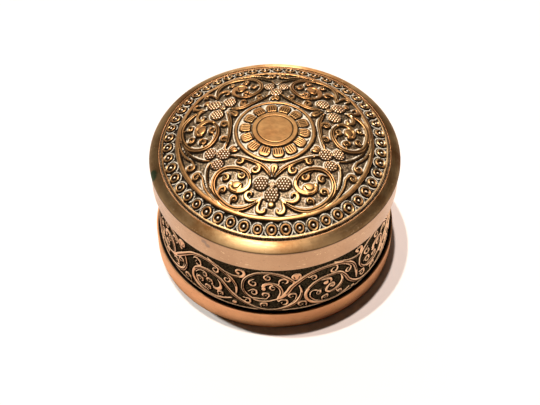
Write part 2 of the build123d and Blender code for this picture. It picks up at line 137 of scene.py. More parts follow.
class Relief:
    """Height of a chased sheet over its ground at many points, in millimetres.

    gap is the distance outside the raised forms, line grows with the distance from chased lines, and
    pale and wear_and_highlight are shares of polish residue and of rubbed metal painted as a glint.
    """

    def __init__(self, count, depth, slope):
        self.points = np.zeros((count, 2))
        self.depth = depth
        self.slope = slope
        self.height = np.zeros(count)
        self.gap = np.full(count, clear_gap)
        self.line = np.full(count, clear_line)
        self.pale = np.zeros(count)
        self.wear_and_highlight = np.zeros(count)

    def near(self, low, high, margin):
        """Points inside a box and a margin round it."""
        x, y = self.points[:, 0], self.points[:, 1]
        beside = (x > low[0] - margin) & (x < high[0] + margin)
        return np.nonzero(beside & (y > low[1] - margin) & (y < high[1] + margin))[0]

    def raise_to(self, index, gap, height, slope):
        """Joins a form of a given height to the relief, from its distance outside its own outline."""
        rise = np.clip(-gap / slope, 0, 1)
        self.height[index] = np.maximum(self.height[index], height * rise * (2 - rise))
        self.gap[index] = np.minimum(self.gap[index], gap)

    def stem(self, rows, height=1.0, split=None, split_width=0.16):
        """Raised stem along a curve. split is the span of the curve that a chased line parts in two."""
        path = smooth_path(rows)
        index = self.near(path[:, :2].min(0), path[:, :2].max(0), path[:, 2].max() + clear_gap)
        away = np.full(len(index), far)
        along = np.zeros(len(index))
        half = np.zeros(len(index))
        spot = self.points[index]
        last = len(path) - 1
        for step in range(last):
            a, b = path[step], path[step + 1]
            share, distance = from_segment(spot, a[:2], b[:2])
            wide = a[2] + (b[2] - a[2]) * share
            gap = distance - wide
            closer = gap < away
            away[closer] = gap[closer]
            along[closer] = (step + share[closer]) / last
            half[closer] = wide[closer]
        rise = height * self.depth * np.clip(half / full_stem, 0.45, 1.0)
        self.raise_to(index, away, rise, self.slope)
        if split:
            in_span = (along > split[0]) & (along < split[1])
            distance = np.where(in_span, away + half, far)
            cut = np.clip(1 - distance / (split_width * 2.2), 0, 1)
            self.height[index] -= split_depth * self.depth * cut * (away < 0)
            line = np.minimum(self.line[index], 0.6 * np.maximum(distance - 0.5 * split_width, 0))
            self.line[index] = np.where(away < 0, line, self.line[index])

    def boss(self, centre, radii, height=1.0, grains=0.0, pitch=1.0):
        """Oval boss, with raspberry grains rubbed on their tops and painted as glints where a grain height
        is given.
        """
        centre, radii = np.asarray(centre, float), np.asarray(radii, float)
        index = self.near(centre - radii, centre + radii, clear_gap)
        out = length((self.points[index] - centre) / radii)
        gap = (out - 1) * radii.mean()
        self.gap[index] = np.minimum(self.gap[index], gap)
        dome_part = np.sqrt(np.clip(1 - out**2, 0, 1))
        top = height * self.depth * (0.4 * np.clip(-gap / 0.35, 0, 1) + 0.6 * dome_part)
        if grains:
            spot = self.points[index] - centre
            row = np.round(spot[:, 1] / (pitch * hexagonal))
            column = np.round(spot[:, 0] / pitch - 0.5 * (row % 2)) + 0.5 * (row % 2)
            aside, below = spot[:, 0] - column * pitch, spot[:, 1] - row * pitch * hexagonal
            miss = np.hypot(aside, below) / (pitch * 0.5)
            inside = gap < -0.15
            top = top - np.where(inside, grains * np.clip(miss, 0, 1.1) ** 2, 0)
            seam = np.where(inside, np.maximum(1.0 - miss, 0) * 0.45 + 0.03, 1.0)
            self.line[index] = np.where(gap < 0, np.minimum(self.line[index], seam), self.line[index])
            # Rubbed grain tops, painted near white as glints
            rub_and_highlight = np.where(inside, 0.75 * np.clip((0.6 - miss) / 0.3, 0, 1), 0)
            self.wear_and_highlight[index] = np.maximum(self.wear_and_highlight[index], rub_and_highlight)
        self.height[index] = np.maximum(self.height[index], np.where(gap < 0, top, 0))

    def groove(self, rows, width):
        """Chased line along a curve."""
        path = smooth_path(rows)[:, :2]
        index = self.near(path.min(0), path.max(0), width + 0.5)
        spot = self.points[index]
        miss = np.full(len(index), far)
        for a, b in zip(path, path[1:]):
            miss = np.minimum(miss, from_segment(spot, a, b)[1])
        self.engrave(index, miss, groove_share * self.depth, width)

    def curl(self, centre, radius, start, turn, tail, width, tail_width=0.22, tall=1.0):
        """Curled stem with a chased hook round its eye."""
        self.stem(curl_path(centre, radius, start, turn, tail, width, tail_width, tall))
        hook = []
        for share in np.linspace(0, 1, 9):
            angle = math.radians(start + turn * (0.42 + 0.62 * share))
            out = radius * (0.5 - 0.36 * share)
            hook.append((centre[0] + out * math.cos(angle), centre[1] + out * tall * math.sin(angle), 0.1))
        self.groove(hook, 0.17 * width + 0.13)

    def slit(self, centre, reach, width):
        """Short chased slit through a boss."""
        centre, reach = np.asarray(centre, float), np.asarray(reach, float)
        index = self.near(centre - np.abs(reach), centre + np.abs(reach), 1.5)
        offset = self.points[index] - centre
        share = np.clip(offset @ reach / (reach @ reach), -1, 1)
        self.engrave(index, length(offset - share[:, None] * reach), slit_depth * self.depth, width)

    def engrave(self, index, distance, depth, width):
        """Chased line from the distance to its middle."""
        cut = np.clip(1 - distance / width, 0, 1)
        self.height[index] -= depth * cut
        self.line[index] = np.minimum(self.line[index], 0.7 * np.maximum(distance - width * 0.3, 0))

    def point_values(self, side, rest):
        """Named values for the material, with plain ones for the rest of the piece's points."""
        named = [
            ("gap", self.gap, clear_gap), ("line", self.line, clear_line), ("pale", self.pale, 0.0),
            ("wear_and_highlight", self.wear_and_highlight, 0.0), ("side", side, 0.0),
        ]
        return {label: np.concatenate([values, np.full(rest, plain)]) for label, values, plain in named}


# Crown ornament. One sixth is drawn, between the middle of a large berry cluster, which points down
# the page, and the middle of a small one. It is mirrored, and repeated three times round.

outer_ring = (39.2, 41.1)
centre_ring = (15.1, 16.8)
medallion_radius = 9.6
medallion_line = 7.4
petal_count = 14
petal_turn = -84.0
petal_inner, petal_outer = 9.9, 14.65
petal_half = 2.5
petal_gap = 0.27
petal_corner = 1.7
petal_dot = (14.45, 0.3)
hatch_pitch = 0.95
hatch_reach = 3.3
bead_count = 50
bead_turn = 1.8
bead_circle = 44.2
bead_ball = 0.72

# Rings round a bead, each with the radius of its middle and its half width
bead_hollow = (0.95, 0.09)
bead_collar = (1.63, 0.5)
bead_trench = (2.33, 0.14)
bead_rim = (2.66, 0.13)
bead_reach = 2.85

ridge = (46.35, 47.35)
crown_depth = 0.85
crown_slope = 0.44

volute_stem = [
    (3.6, -32.4, 0.25), (6, -34.2, 0.55), (10.1, -36, 0.95), (14.2, -36.1, 1.05), (18, -34.4, 1.05),
    (21.1, -31.5, 1), (23.2, -28, 1), (23.6, -24.5, 1), (22.2, -21.1, 1), (19.5, -19.1, 1),
    (16.1, -18.8, 1), (12.7, -19.7, 0.95), (10.4, -21.5, 0.85), (9.2, -24, 0.8), (9.2, -26.6, 0.9),
    (10.8, -28.6, 1.15), (13.5, -29.3, 1.15), (16, -28.4, 0.9), (17, -26.6, 0.7), (16.4, -25.2, 0.6),
]
volute_crescent = [
    (12.9, -28.6, 0.3), (14.2, -29.2, 0.6), (15.8, -28.6, 0.7), (16.7, -27.2, 0.6), (16.4, -25.7, 0.3),
]
cluster_leaf = [
    (3.8, -32.2, 0.25), (6.1, -33.2, 0.5), (8.4, -33.3, 0.8), (9.9, -32.2, 0.95), (10.2, -30.8, 0.9),
    (9.2, -29.8, 0.7), (8, -30.2, 0.55), (7.9, -31.1, 0.5),
]
foot_leaf = [
    (3.9, -32.6, 0.3), (4.5, -34.2, 0.55), (5.2, -35.9, 0.8), (5, -37.4, 0.9), (3.7, -38.1, 0.75),
    (2.4, -37.6, 0.6), (2.5, -36.7, 0.55),
]
fork_stem = [
    (0.75, -23.6, 0.3), (2, -21.4, 0.75), (3.7, -19.3, 0.95), (5.7, -17.7, 0.95), (8.4, -16.3, 0.85),
    (11.2, -15, 0.75), (14.6, -13.7, 0.65), (17.6, -12.8, 0.45),
]
fork_tulip = [(0.0, -23.4, 0.2), (0.0, -21.6, 0.65), (0.0, -19.9, 1.4), (0.0, -19.0, 1.6)]
bud_place = (16.4, -10.2)
minor_stem = [
    (25.3, -15.2, 0.35), (26.2, -17.6, 0.5), (26.5, -20.4, 0.5), (26.2, -23.4, 0.5), (25.1, -26.5, 0.5),
    (23.2, -29.6, 0.45), (20.6, -32.5, 0.4), (17.4, -35.2, 0.3), (14.4, -36.9, 0.2),
]
minor_curl_tail = [(20.6, -33.9), (23.6, -31.3), (26.0, -28.2), (27.6, -24.9), (28.2, -21.8)]


def draw_sixth(relief):
    """Draws one sixth of the scroll field."""
    relief.stem(volute_stem, split=(0.05, 0.78))
    relief.boss((14.5, -27.2), (2.75, 2.35), 1.1)
    relief.stem(volute_crescent, height=1.3)
    relief.groove([(12.6, -26.6, 0.1), (13.6, -27.9, 0.1), (15.2, -28.0, 0.1), (16.0, -26.9, 0.1)], 0.25)
    relief.curl((12.6, -22.4), 2.05, 45, -330, [(15.2, -19.8)], 0.78)
    relief.curl((19.2, -22.9), 2.15, 60, 320, [(21.8, -21.6)], 0.8)
    relief.curl((20.0, -28.3), 2.1, -15, 330, [(21.9, -31.2)], 0.78)
    relief.curl((15.0, -32.5), 1.9, -20, 330, [(17.2, -34.9)], 0.72)
    relief.stem(cluster_leaf, height=1.05)
    relief.stem(foot_leaf, height=1.05)
    relief.stem(fork_stem, split=(0.08, 0.9), split_width=0.14)
    relief.stem(fork_tulip, split=(0.3, 1.0), split_width=0.14)
    relief.curl((7.4, -19.6), 2.4, 110, 330, [(11.2, -15.9), (8.9, -16.5)], 0.88)
    relief.curl((14.1, -15.4), 2.25, 80, 330, [(17.6, -13.5), (15.9, -12.9)], 0.82)
    relief.boss(bud_place, (1.75, 1.3), 0.95)
    relief.slit(bud_place, (1.0, -0.25), 0.22)
    relief.stem(minor_stem, split=(0.1, 0.7), split_width=0.12)
    relief.curl((30.6, -20.7), 2.25, 165, -330, minor_curl_tail, 0.82, 0.5)
    relief.boss((4.5, -26.1), (3.15, 3.0), 1.15, grains=0.36, pitch=1.25)
    relief.boss((0.0, -30.9), (2.95, 3.15), 1.2, grains=0.36, pitch=1.25)
    relief.boss((0.0, -34.8), (1.5, 1.25), 0.9)
    relief.boss((0.0, -26.6), (1.3, 1.6), 0.9, grains=0.2, pitch=0.75)
    relief.boss((20.4, -11.9), (2.85, 2.65), 1.15, grains=0.36, pitch=1.2)
    relief.boss((22.5, -16.7), (2.6, 2.45), 1.15, grains=0.36, pitch=1.2)


axis_bearings = np.radians([-90.0, -30.0, 30.0, 90.0, 150.0, 210.0])
axis_drift = np.radians([-2.6, 0.7, 0.8, -2.0, -5.0, -2.2])


def drift(bearing):
    """How far the hand-drawn ornament strays round the crown at a bearing, as a smooth periodic curve."""
    total = np.full(bearing.shape, axis_drift.mean())
    for order in (1, 2, 3):
        scale = 2.0 if order < 3 else 1.0
        cosine = (axis_drift * np.cos(order * axis_bearings)).mean() * scale
        sine = (axis_drift * np.sin(order * axis_bearings)).mean() * scale
        total += cosine * np.cos(order * bearing) + sine * np.sin(order * bearing)
    return total


def wander(x, y, amount, wave, phase):
    """Smooth hand wobble of a drawn line."""
    first = np.sin(x / wave + phase) * np.cos(y / (wave * 1.3) - phase * 2)
    second = np.sin((x + y) / (wave * 0.61) + phase * 3)
    return amount * (first + 0.5 * second)


def crown_page(x, y, radius, bearing):
    """Points of the crown laid on the page of the drawn sixth, with drift and hand wobble."""
    settle = np.clip((radius - 15) / 12, 0, 1)
    drawn = bearing - drift(bearing) * settle * settle * (3 - 2 * settle)
    sixth = np.abs((drawn + math.pi / 2 + math.pi / 3) % (2 * math.pi / 3) - math.pi / 3)
    page = np.stack([radius * np.sin(sixth), -radius * np.cos(sixth)], 1)
    page[:, 0] += wander(x, y, 0.16, 5.0, 0.3)
    page[:, 1] += wander(x, y, 0.16, 5.6, 1.7)
    return page


def ring_gap(out, ring):
    """Distance outside a ring that is given by its middle and its half width."""
    return np.abs(out - ring[0]) - ring[1]


def spaced(radius, bearing, count, first):
    """Bearing in pitches of evenly spaced marks, the nearest mark, and the distance across from it."""
    pitch = 2 * math.pi / count
    turned = (bearing - math.radians(first)) / pitch
    number = np.round(turned)
    return turned, number, (turned - number) * pitch * radius


def raise_medallion(relief, radius, wavy):
    """Flat disc with one chased circle."""
    gap = radius - medallion_radius
    disc = medallion_top - dome(np.minimum(radius, medallion_radius))
    relief.height = np.where(gap < 0, disc * np.clip(-gap / 0.3, 0, 1), relief.height)
    relief.gap = np.minimum(relief.gap, gap)
    near_line = np.nonzero(np.abs(wavy - medallion_line) < 1)[0]
    relief.engrave(near_line, np.abs(wavy[near_line] - medallion_line), 0.18, 0.3)


def raise_petals(relief, radius, bearing):
    """Petals with hatched feet, pale ground between them and a dot at each gap."""
    turned, number, across = spaced(radius, bearing, petal_count, petal_turn)
    pitch = 2 * math.pi / petal_count
    half = np.minimum(radius * pitch / 2 - petal_gap, petal_half)
    past_side = np.maximum(np.abs(across) - (half - petal_corner), 0)
    past_end = np.maximum(radius - (petal_outer - petal_corner), 0)
    tip = np.where(past_end > 0, np.hypot(past_side, past_end) - petal_corner, -1.0)
    gap = np.maximum(np.maximum(np.abs(across) - half, petal_inner - radius), tip)
    petal = np.nonzero((radius > petal_inner - 1) & (radius < centre_ring[0]))[0]
    relief.raise_to(petal, gap[petal], 0.8 * relief.depth, 0.5)

    hatch = np.abs((across / hatch_pitch + 0.5 * (number % 2)) % 1 - 0.5) * hatch_pitch
    reach = petal_inner + hatch_reach + 0.5 * np.sin(number * 2.1)
    hatched = (gap < -0.5) & (radius > petal_inner + 0.5) & (radius < reach) & (np.abs(across) < half - 0.6)
    cut = np.nonzero(hatched & (radius < centre_ring[0]))[0]
    relief.engrave(cut, hatch[cut], 0.2, 0.26)
    yard = (radius > medallion_radius + 0.25) & (radius < centre_ring[0] - 0.1) & (gap > 0.28)
    relief.pale = np.where(yard, 0.85, relief.pale)

    between = (np.floor(turned) + 0.5 - turned) * pitch * radius
    dot = np.hypot(between, radius - petal_dot[0]) - petal_dot[1]
    spot = np.nonzero(np.abs(dot) < 2.0)[0]
    spot = spot[(radius[spot] < centre_ring[0]) & (radius[spot] > 12)]
    relief.raise_to(spot, dot[spot], 0.4 * relief.depth, 0.3)


def raise_beads(relief, radius, bearing):
    """Row of slightly uneven beads, each with a hollow, a collar, a trench and a fine rim round it."""
    _, number, across = spaced(radius, bearing, bead_count, bead_turn)
    size = 1.0 + 0.07 * np.sin(number * 2.4) + 0.04 * np.sin(number * 5.1)
    place = bead_circle + 0.12 * np.sin(number * 1.7)
    row = np.nonzero((radius > outer_ring[1]) & (radius < ridge[0]))[0]
    out = (np.hypot(across, radius - place) / size)[row]
    fine_rim = ring_gap(out, bead_rim)
    relief.raise_to(row, ring_gap(out, bead_collar), 0.95 * relief.depth, 0.5)
    relief.raise_to(row, out - bead_ball, relief.depth, 0.5)
    relief.raise_to(row, fine_rim, 0.35 * relief.depth, 0.16)
    sunk = np.minimum(ring_gap(out, bead_hollow), ring_gap(out, bead_trench))
    dark = np.minimum(sunk, bead_reach - out)
    relief.line[row] = np.minimum(relief.line[row], np.maximum(dark, 0))
    relief.pale[row] = np.where(fine_rim < 0.02, 1.0, relief.pale[row])
    # Ball tops rubbed and painted near white as glints
    relief.wear_and_highlight[row] = np.clip(0.55 - out, 0, 0.25) / 0.25


def crown_relief(x, y):
    """Relief of the crown's front: scroll field, rings, medallion, petals and bead row."""
    radius = np.hypot(x, y)
    bearing = np.arctan2(y, x)
    relief = Relief(len(x), crown_depth, crown_slope)
    relief.points = crown_page(x, y, radius, bearing)
    draw_sixth(relief)
    field = (radius > centre_ring[1] - 0.2) & (radius < outer_ring[0] + 0.4)
    relief.height[~field] = 0
    relief.gap[~field] = clear_gap
    relief.line[~field] = clear_line

    everywhere = np.arange(len(x))
    wavy = radius + wander(x, y, 0.06, 2.2, 0.9)
    for inner, outer, height in ((*outer_ring, 0.8), (*centre_ring, 0.75), (*ridge, 0.5)):
        gap = ring_gap(wavy, ((inner + outer) / 2, (outer - inner) / 2))
        relief.raise_to(everywhere, gap, height * relief.depth, 0.55)
    raise_medallion(relief, radius, wavy)
    raise_petals(relief, radius, bearing)
    raise_beads(relief, radius, bearing)
    return relief


# Side of each form toward the lamps, at the back, or above, and to the left: polish residue and painted
# highlights go there, painted shade on the other side

gap_span = (-1.2, 1.5)


def lamp_side_cosine(up, along):
    """Cosine between the way out of a form, from the slopes of its gap, and the lamps' side, for polish and
    painted light.
    """
    return (0.86 * up - 0.5 * along) / np.maximum(np.hypot(up, along), 1e-6)


def crown_side(x, y, gap):
    """The side for the crown's scattered points, from a grid of their gaps."""
    cell = 0.24
    column = np.round((x - x.min()) / cell).astype(int)
    row = np.round((y - y.min()) / cell).astype(int)
    shape = (row.max() + 1, column.max() + 1)
    total, count = np.zeros(shape), np.zeros(shape)
    np.add.at(total, (row, column), np.clip(gap, *gap_span))
    np.add.at(count, (row, column), 1)
    for _ in range(2):
        for axis in (0, 1):
            total = total + np.roll(total, 1, axis) + np.roll(total, -1, axis)
            count = count + np.roll(count, 1, axis) + np.roll(count, -1, axis)
    return lamp_side_cosine(*np.gradient(total / np.maximum(count, 1e-6)))[row, column]


# Meshes

arc_radius = 0.25
arc_steps = 4
bake_strips = 6


def placed(name, data):
    made = bpy.data.objects.new(name, data)
    bpy.context.scene.collection.objects.link(made)
    return made


def round_points(radius, turn, height):
    return np.stack([radius * np.cos(turn), radius * np.sin(turn), height], 1)


def stitch(start_a, count_a, start_b, count_b):
    """Triangles between two rings of evenly spaced points whose counts may differ."""
    i = np.arange(count_a)
    apex = np.ceil((i + 0.5) * count_b / count_a - 0.5).astype(int) % count_b
    lower = np.stack([start_a + i, start_a + (i + 1) % count_a, start_b + apex], 1)
    j = np.arange(count_b)
    apex = np.floor((j + 0.5) * count_a / count_b + 0.5).astype(int) % count_a
    upper = np.stack([start_b + (j + 1) % count_b, start_b + j, start_a + apex], 1)
    return np.vstack([lower, upper])


def closed_faces(rings, around):
    """Triangles of a closed ring of rings with the same number of points round each."""
    return np.vstack([stitch(k * around, around, ((k + 1) % rings) * around, around) for k in range(rings)])


def mesh_from(name, points, faces, body, replaces, layout, values, material):
    """Smooth-shaded piece with a bake layout and named values on its points."""
    mesh = bpy.data.meshes.new(name)
    mesh.from_pydata(points * MM, [], faces, shade_flat=False)
    mesh.validate()
    for label, numbers in values.items():
        attribute = mesh.attributes.new(label, "FLOAT", "POINT")
        attribute.data.foreach_set("value", numbers.astype(np.float32))
    uv = mesh.uv_layers.new(name="OFBake")
    uv.data.foreach_set("uv", layout(points, faces).astype(np.float32).ravel())
    piece = placed(name, mesh)
    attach(piece, body)
    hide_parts(replaces)
    mesh.materials.append(material)


def rounded(corners):
    """Outline of (radius, height) corners with each corner turned into a small arc."""
    corners = np.asarray(corners, float)
    rows = []
    for before, corner, after in zip(np.roll(corners, 1, 0), corners, np.roll(corners, -1, 0)):
        back, ahead = before - corner, after - corner
        reach = min(arc_radius, 0.45 * np.hypot(*back), 0.45 * np.hypot(*ahead))
        first = corner + back / np.hypot(*back) * reach
        last = corner + ahead / np.hypot(*ahead) * reach
        for step in range(arc_steps + 1):
            t = step / arc_steps
            rows.append((1 - t) ** 2 * first + 2 * t * (1 - t) * corner + t**2 * last)
    return np.array(rows)


def subdivided(outline, longest):
    """The same closed outline with no step longer than a length."""
    rows = []
    for a, b in zip(outline, np.roll(outline, -1, 0)):
        count = max(1, math.ceil(np.hypot(*(b - a)) / longest))
        for step in range(count):
            rows.append(a + (b - a) * step / count)
    return np.array(rows)


def strip_layout(around):
    """Bake layout for a turned piece: its turn cut in strips, stacked over each other."""
    def layout(points, faces):
        turn = (np.arctan2(points[:, 1], points[:, 0]) / (2 * math.pi)) % 1.0
        corner = turn[faces]
        crosses = (corner.max(1) - corner.min(1) > 0.5)[:, None]
        corner = np.where(crosses & (corner < 0.5), corner + 1, corner)
        strip = np.minimum(np.floor(corner.min(1) * bake_strips + 1e-6), bake_strips - 1)[:, None]
        along = 0.02 + 0.94 * (corner * bake_strips - strip)
        rings = len(points) // around
        span = (np.arange(len(points)) // around)[faces].astype(float)
        closes = (span.max(1) - span.min(1) > rings / 2)[:, None]
        span = np.where(closes & (span < rings / 2), span + rings, span)
        up = (strip + 0.03 + 0.9 * span / (rings + 1)) / bake_strips
        return np.stack([along, up], -1).reshape(-1, 2)
    return layout


def turned_piece(name, outline, body, material, around=360, dent=0.0, shape=None, shade=None):
    """Closed ring turned from an outline, with faint hand-made unevenness."""
    rings = len(outline)
    radius = np.repeat(outline[:, 0], around)
    height = np.repeat(outline[:, 1], around)
    turn = np.tile(np.arange(around) * 2 * math.pi / around, rings)
    wave = np.sin(3 * turn + 1.1) + 0.6 * np.sin(7 * turn + 2.3 + height * 0.2)
    wave += 0.4 * np.sin(17 * turn + height * 0.5)
    radius = radius - dent * (2 + wave) / 4
    if shape:
        radius, height = shape(radius, height, turn)
    points = round_points(radius, turn, height)
    values = {"shade": shade(radius, height) if shade else np.zeros(len(points))}
    faces = closed_faces(rings, around)
    mesh_from(name + "_dressed", points, faces, body, name, strip_layout(around), values, material)


# Crown mesh

crown_spacing = 0.22
plain_spacing = 0.55
front_disc = (0.34, 0.0062)
back_disc = (0.82, 0.0034)


def crown_rows():
    """Rows of (radius, height) over the dome, round the flange and back under the sheet.

    A row without a height lies on the dome and gets its relief.
    """
    wall_in = dome_edge - sheet
    edge = float(dome(dome_edge))
    top = [(radius, None) for radius in np.arange(crown_spacing, dome_edge - 0.1, crown_spacing)]
    rim = [
        (dome_edge - 0.02, edge - 0.05), (dome_edge, edge - 0.3), (dome_edge + 0.02, flange_top + 0.1),
        (dome_edge + 0.1, flange_top), ((dome_edge + crown_lip) / 2, flange_top),
        (crown_lip - 0.05, flange_top), (crown_lip, flange_top - 0.1), (crown_lip, crown_low + 0.1),
    ]
    under = [
        (crown_lip - 0.05, crown_low), (wall_in + 0.1, crown_low), (wall_in, crown_low + 0.1),
        (wall_in, float(dome(wall_in, -sheet)) - 0.1),
    ]
    under += [(radius, float(dome(radius, -sheet))) for radius in np.linspace(wall_in - 0.2, 0.8, 60)]
    return top, rim, under


def crown_grid(rows):
    """Rings of points, and the triangles between them, from the middle in front to the middle behind."""
    rings, faces = [np.zeros((1, 3))], []
    start, before = 1, None
    for radius, height in rows:
        step = crown_spacing if height is None else plain_spacing
        count = max(24, round(2 * math.pi * radius / step))
        turn = np.arange(count) * 2 * math.pi / count
        rings.append(round_points(radius, turn, np.full(count, height or 0.0)))
        if before is None:
            fan = np.arange(count)
            faces.append(np.stack([np.zeros(count, int), start + fan, start + (fan + 1) % count], 1))
        else:
            faces.append(stitch(*before, start, count)[:, ::-1])
        before = (start, count)
        start += count
    first, count = before
    fan = np.arange(count)
    faces.append(np.stack([np.full(count, start), first + (fan + 1) % count, first + fan], 1))
    rings.append(np.array([[0.0, 0.0, float(dome(0.0, -sheet))]]))
    return rings, np.vstack(faces)


def disc_layout(rows, sizes, front):
    """Bake layout of the crown: a large disc for the points before front and a small one for the rest."""
    profile = [(radius, flange_top if height is None else height) for radius, height in rows]
    profile = np.array([(0.0, 0.0)] + profile + [(0.0, flange_top)])
    lengths = np.concatenate([[0], np.cumsum(np.hypot(*np.diff(profile, axis=0).T))])
    reach = np.repeat(lengths, sizes)

    def layout(points, faces):
        behind = (faces.max(1) >= front)[:, None]
        way = reach[faces]
        distance = np.where(behind, (lengths[-1] - way) * back_disc[1], way * front_disc[1])
        middle = np.where(behind, back_disc[0], front_disc[0])
        turn = np.arctan2(points[:, 1], points[:, 0])[faces]
        u = middle + distance * np.cos(turn)
        v = middle + distance * np.sin(turn)
        return np.stack([u, v], -1).reshape(-1, 2)
    return layout


def crown_piece():
    """Domed sheet with its relief in front, its hollow side behind and its flange."""
    top, rim, under = crown_rows()
    rows = top + rim + under
    rings, faces = crown_grid(rows)
    points = np.vstack(rings)
    sizes = [len(ring) for ring in rings]
    dressed = sum(sizes[: len(top) + 1])
    front = sum(sizes[: len(top) + len(rim) + 1])

    x, y = points[:dressed, 0], points[:dressed, 1]
    relief = crown_relief(x, y)
    radius = np.hypot(x, y)
    base = np.stack([x, y, dome(radius)], 1)
    normal = (base - [0, 0, dome_centre]) / dome_radius
    normal[radius < medallion_radius] = [0, 0, 1]
    points[:dressed] = base + normal * relief.height[:, None]
    values = relief.point_values(crown_side(x, y, relief.gap), len(points) - dressed)
    copper = chased_copper(
        "crown_copper", rgb(0.62, 0.35, 0.135), rgb(0.50, 0.235, 0.082), wear_and_highlight=rgb(0.97, 0.72, 0.38),
        ground=rgb(0.36, 0.27, 0.165), residue=rgb(0.90, 0.84, 0.68),
        residue_share=0.24, ground_metal=0.85, glint=0.35, outline_and_shadow_reach=(0.12, 0.36, 0.6),
    )
    layout = disc_layout(rows, sizes, front)
    mesh_from("lid_crown_chased", points, faces, "lid", "lid_crown", layout, values, copper)


# Band ornament. One third of the way round is drawn flat, as (distance round, height over the floor,
# half-width), and repeated three times. Distance 0 is the middle of the high volute in front.

band_ground = band_in + 0.35
band_depth = 0.45
band_slope = 0.6
border_height = 0.8
border_rise = 0.3
band_repeats = 3
band_bearing = math.radians(-95.0)
band_strip = 2 * math.pi * band_ground / band_repeats
strip_end = 65.6
volute_step = 52.8
curl_growth = 1.22
curl_width = 0.56
curl_tall = 1.14

low_volute = [
    (-14, 14.4, 0.3), (-17.6, 12.7, 0.45), (-21.6, 11.4, 0.5), (-25.5, 11.3, 0.6), (-30.3, 12.9, 0.7),
    (-32.9, 16.6, 0.7), (-32.9, 20.5, 0.65), (-30.8, 24.4, 0.7), (-27.2, 26.7, 0.75), (-23, 27.2, 0.75),
    (-18.8, 25.1, 0.7), (-15.9, 21.1, 0.7), (-13, 17.3, 0.8), (-8.7, 14.1, 0.7), (-4.5, 11.7, 0.6),
    (0, 10.5, 0.6), (4.8, 10.6, 0.65), (9.8, 12.3, 0.8), (13.4, 15.2, 0.8), (15.3, 19.5, 0.6),
    (15.5, 23, 0.45), (14.6, 26.3, 0.25),
]
second_low_volute = [
    (38, 12.1, 0.3), (34, 10.6, 0.45), (29.1, 10.2, 0.5), (24, 11, 0.6), (19.8, 13, 0.7),
    (17.7, 16.7, 0.7), (17.6, 21, 0.65), (20.1, 25.4, 0.7), (24.2, 27.7, 0.75), (28.5, 27.9, 0.75),
    (32.6, 26.5, 0.7), (35.6, 22.6, 0.7), (38.2, 17.1, 0.8), (42.2, 12.8, 0.7), (46.4, 10.9, 0.6),
    (51.8, 10.3, 0.6), (57, 10.6, 0.65), (62.4, 12.3, 0.8), (66, 15.2, 0.8), (67.9, 19.5, 0.6),
    (68.1, 23, 0.45), (67.2, 26.3, 0.25),
]
low_volute_lining = [(-31.0, 19.5, 0.3), (-31.2, 16.9, 0.35), (-29.2, 14.2, 0.35), (-25.2, 12.8, 0.25)]
second_low_volute_lining = [
    (22, 20.3, 0.4), (20.6, 20.7, 0.35), (19.5, 19.9, 0.35), (19.3, 17.5, 0.35), (20.1, 15.2, 0.35),
    (21.9, 13.1, 0.3), (24.2, 11.9, 0.2),
]
high_stem = [
    (4.9, 17.8, 0.3), (7.6, 19.8, 0.8), (9.8, 22.9, 1), (11.6, 26.6, 1), (14.6, 30, 0.9),
    (18.8, 33.3, 0.9), (24, 34.8, 0.8), (29.6, 34.1, 0.8), (35.2, 31.4, 0.75), (39.2, 27.7, 0.7),
    (41.2, 23.2, 0.65), (42, 19, 0.55), (42.4, 15.1, 0.25),
]
second_high_stem = [
    (57.6, 17.8, 0.3), (60.4, 19.6, 0.8), (63, 22.2, 1), (65.6, 25.3, 1), (68.4, 28.4, 0.9),
    (72.2, 32, 0.9), (76.8, 34.2, 0.8), (81.3, 34.5, 0.8), (85.8, 33, 0.75), (89.9, 30, 0.7),
    (92.6, 26, 0.65), (93.4, 22.3, 0.55), (93.2, 18.5, 0.25),
]
high_volute = [
    (12.6, 29, 0.5), (9.4, 32.6, 0.75), (5.4, 35.3, 0.75), (0.6, 36.2, 0.65), (-4, 34.8, 0.6),
    (-7.6, 31.2, 0.6), (-9, 26.9, 0.55), (-8.8, 22.5, 0.6), (-6.4, 18.7, 0.6), (-2.8, 16.6, 0.4),
    (1.6, 16.6, 0.35), (5.3, 18, 0.3),
]
high_leaf = [
    (-0.6, 26.4, 0.7), (0.2, 28, 0.8), (2.2, 28.9, 0.75), (4.6, 28.4, 0.8), (6.4, 26.4, 0.85),
    (7.2, 23.6, 0.85), (6.8, 21, 0.7), (5.7, 18.9, 0.35),
]
top_curl = [
    (29.6, 35.3, 0.25), (33, 33.6, 0.5), (37.2, 31.5, 0.55), (40.9, 30.6, 0.6), (43.6, 31.6, 0.65),
    (44.2, 33.7, 0.65), (43.2, 35.4, 0.55), (41.5, 35.5, 0.45), (40.8, 34.4, 0.4), (41.7, 33.3, 0.6),
]
second_top_curl = [
    (80.6, 35.9, 0.25), (84.5, 34, 0.5), (88.4, 31.8, 0.55), (92.3, 30.8, 0.6), (95.6, 31.4, 0.65),
    (96.9, 33.5, 0.65), (96, 35.5, 0.55), (94.4, 35.7, 0.45), (93.5, 34.4, 0.4), (94.4, 33.1, 0.6),
]
low_leaf = [
    (-20.2, 23.8, 0.15), (-18.9, 21.6, 0.5), (-18.7, 19, 0.85), (-20.1, 17.2, 0.9), (-22, 17, 0.6),
]
bud_leaf = [(24.0, 26.2, 0.3), (26.2, 26.1, 0.6), (28.0, 25.1, 0.7), (28.6, 23.7, 0.6), (28.2, 22.4, 0.2)]
second_low_leaf = [
    (33.3, 24.4, 0.15), (34.2, 21.8, 0.5), (34, 19.2, 0.85), (32.4, 17.1, 1), (29.9, 15.9, 0.85),
    (27.8, 16.1, 0.65), (26.5, 17.2, 0.55), (26.2, 18.9, 0.45), (27, 20.4, 0.4),
]

